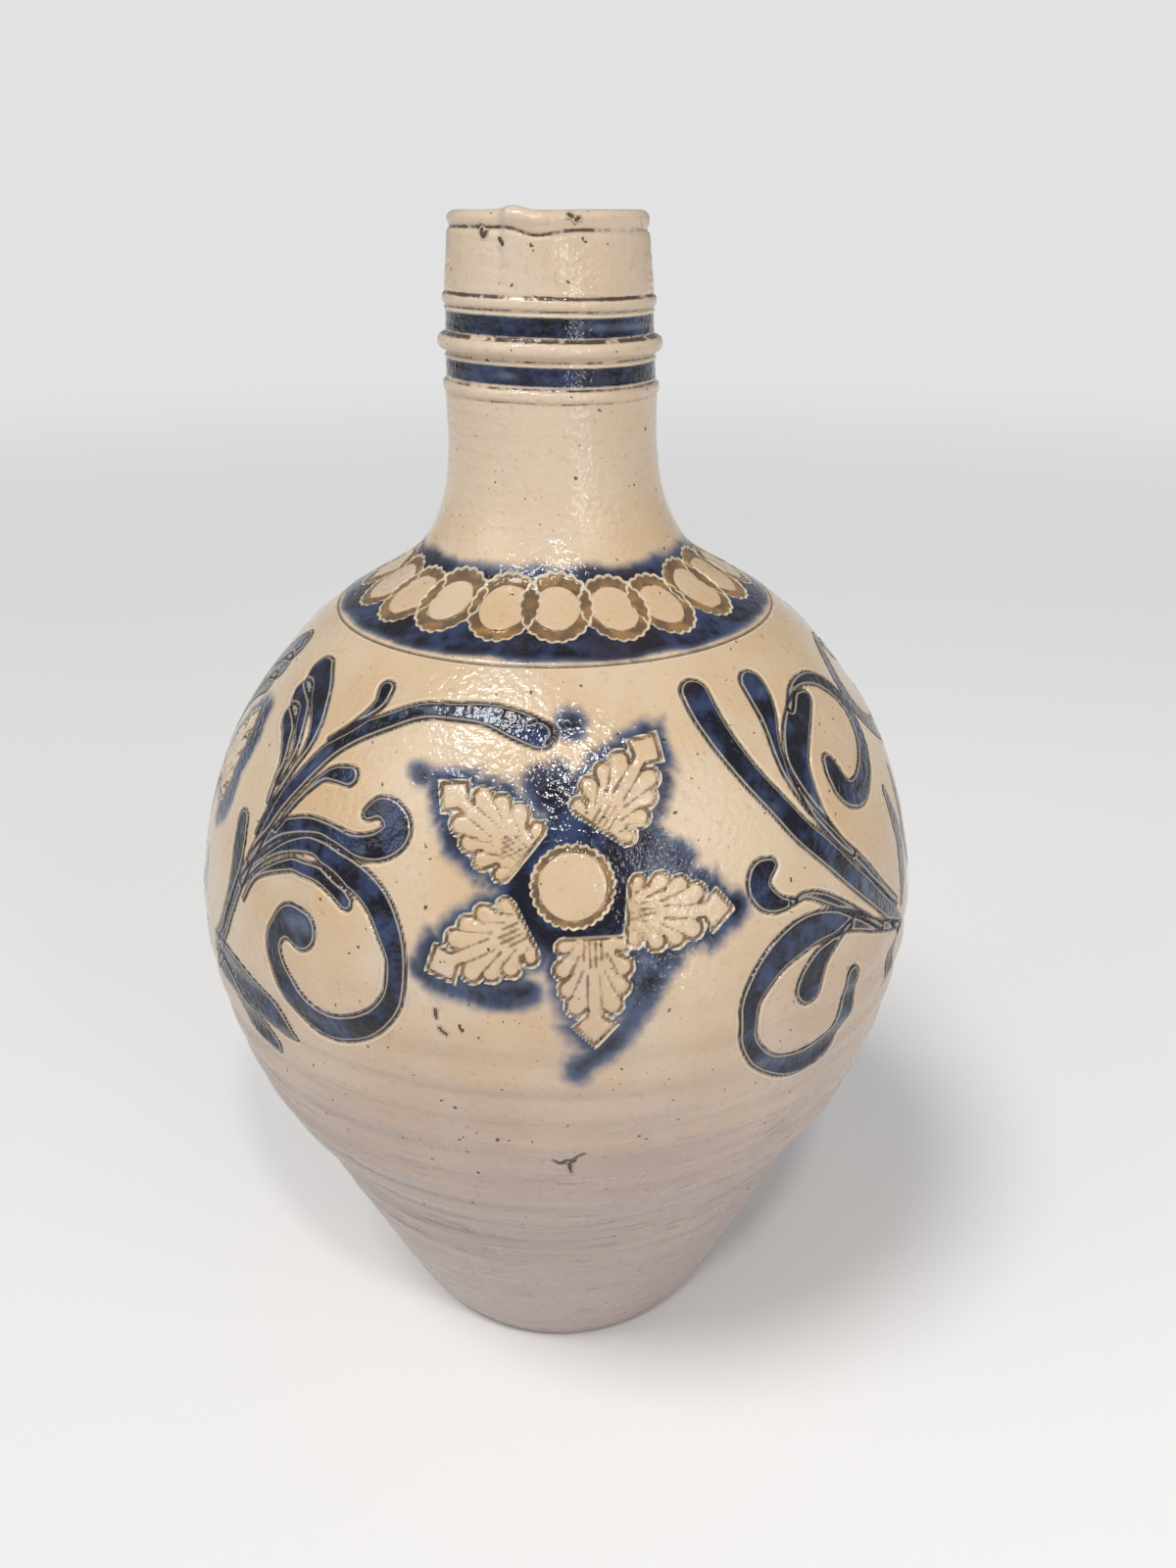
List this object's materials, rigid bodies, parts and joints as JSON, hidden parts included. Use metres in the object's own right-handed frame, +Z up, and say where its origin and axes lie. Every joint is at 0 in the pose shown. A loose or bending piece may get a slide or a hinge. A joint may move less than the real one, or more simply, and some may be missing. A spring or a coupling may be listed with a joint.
{
  "type": "stoneware jug",
  "caption": "Tall narrow-necked salt-glazed stoneware jug with a pinched pouring lip, moulded collar, blue scroll and star ornament and a strap handle.",
  "frame": {"origin": "on the jug's axis at the underside of its foot", "axes": "+Z up along the jug's axis, the pouring lip towards -Y and the handle towards +Y"},
  "size_m": [0.26, 0.26, 0.41],
  "materials": {
    "pale_stoneware": "gloss",
    "decorated_stoneware": "gloss",
    "handle_stoneware": "gloss"
  },
  "bodies": {
    "root": {"foot_section": "pale_stoneware", "belly_section": "decorated_stoneware", "neck_section": "decorated_stoneware", "handle_strap": "handle_stoneware", "handle_top_wad": "handle_stoneware", "handle_foot_wad": "handle_stoneware"}
  },
  "joints": []
}
